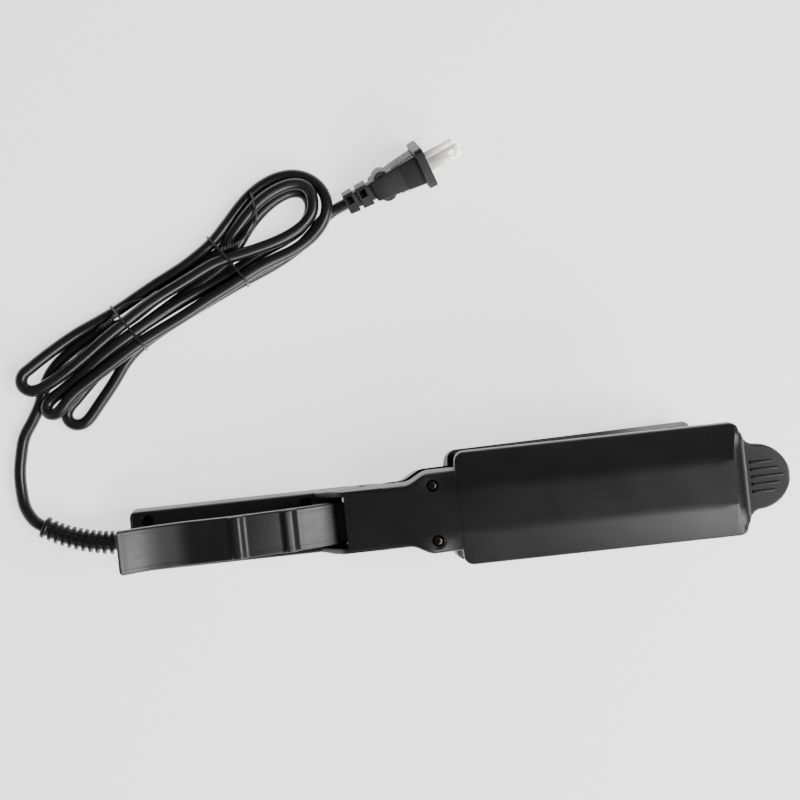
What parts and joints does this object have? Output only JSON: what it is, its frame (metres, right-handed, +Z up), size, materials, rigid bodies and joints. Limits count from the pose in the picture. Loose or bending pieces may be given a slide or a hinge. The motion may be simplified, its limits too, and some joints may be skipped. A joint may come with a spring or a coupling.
{
  "type": "hair crimper",
  "caption": "Squeeze-handle hair crimper: two broad hooded jaws with corrugated heated plates, sprung lever, bundled mains cord and flat-blade plug.",
  "frame": {"origin": "centre of the base of the tool's bounding box, on the table it lies on; the free cord and plug are left out", "axes": "+X along the tool from its heel to the jaw tips, +Y across it towards the coiled cord, +Z up, lever side"},
  "size_m": [0.3441, 0.2001, 0.0732],
  "materials": {
    "black_abs": "satin moulded",
    "heatproof_black": "matt moulded",
    "ceramic_coat": "dark ceramic coat",
    "spring_steel": "bright drawn",
    "mica": "insulating sleeve",
    "black_oxide": "dark bronze oxide",
    "lead_red": "silicone insulation",
    "lead_white": "silicone insulation",
    "crimp_cap": "moulded cap",
    "nickel": "nickel plated",
    "tie_wire": "coated wire",
    "black_pvc": "smooth extruded"
  },
  "bodies": {
    "handle": {"clamp_screw_1": "black_oxide", "clamp_screw_2": "black_oxide", "cord_clamp": "heatproof_black", "cord_core_1": "lead_red", "cord_core_2": "lead_white", "cord_hank": "black_pvc", "cord_lead": "black_pvc", "cord_stub": "black_pvc", "cord_tail": "black_pvc", "handle_lower_shell": "black_abs", "handle_screw_1": "black_oxide", "handle_screw_2": "black_oxide", "handle_screw_3": "black_oxide", "handle_screw_4": "black_oxide", "lead_live": "lead_red", "lead_neutral": "lead_white", "pivot_pin": "spring_steel", "plug_blade_1": "nickel", "plug_blade_2": "nickel", "plug_body": "black_pvc", "return_spring": "spring_steel", "strain_relief": "black_pvc", "twist_tie_1": "tie_wire", "twist_tie_2": "tie_wire", "upper_arm_screw_1": "black_oxide", "upper_arm_screw_2": "black_oxide", "upper_crimp_plate": "ceramic_coat", "upper_heater": "mica", "upper_heater_clip": "spring_steel", "upper_plate_carrier": "heatproof_black", "upper_shell": "black_abs", "upper_thermostat": "mica", "wire_connector_1": "crimp_cap", "wire_connector_2": "crimp_cap"},
    "lower_jaw": {"lever": "black_abs", "lower_arm_screw_1": "black_oxide", "lower_arm_screw_2": "black_oxide", "lower_crimp_plate": "ceramic_coat", "lower_heater": "mica", "lower_heater_clip": "spring_steel", "lower_jaw_shell": "black_abs", "lower_lead_1": "lead_red", "lower_lead_2": "lead_white", "lower_plate_carrier": "heatproof_black", "lower_thermal_fuse": "mica"}
  },
  "joints": [
    {"name": "jaw_hinge", "type": "hinge", "parent": "handle", "child": "lower_jaw", "pos_m": [-0.04072, 0, 0.03476], "axis": [0, -1, 0], "range_deg": [0, 16.5], "stiffness_Nm_per_rad": 2.4, "springref_deg": -14.32, "deforming": ["return_spring"]}
  ]
}
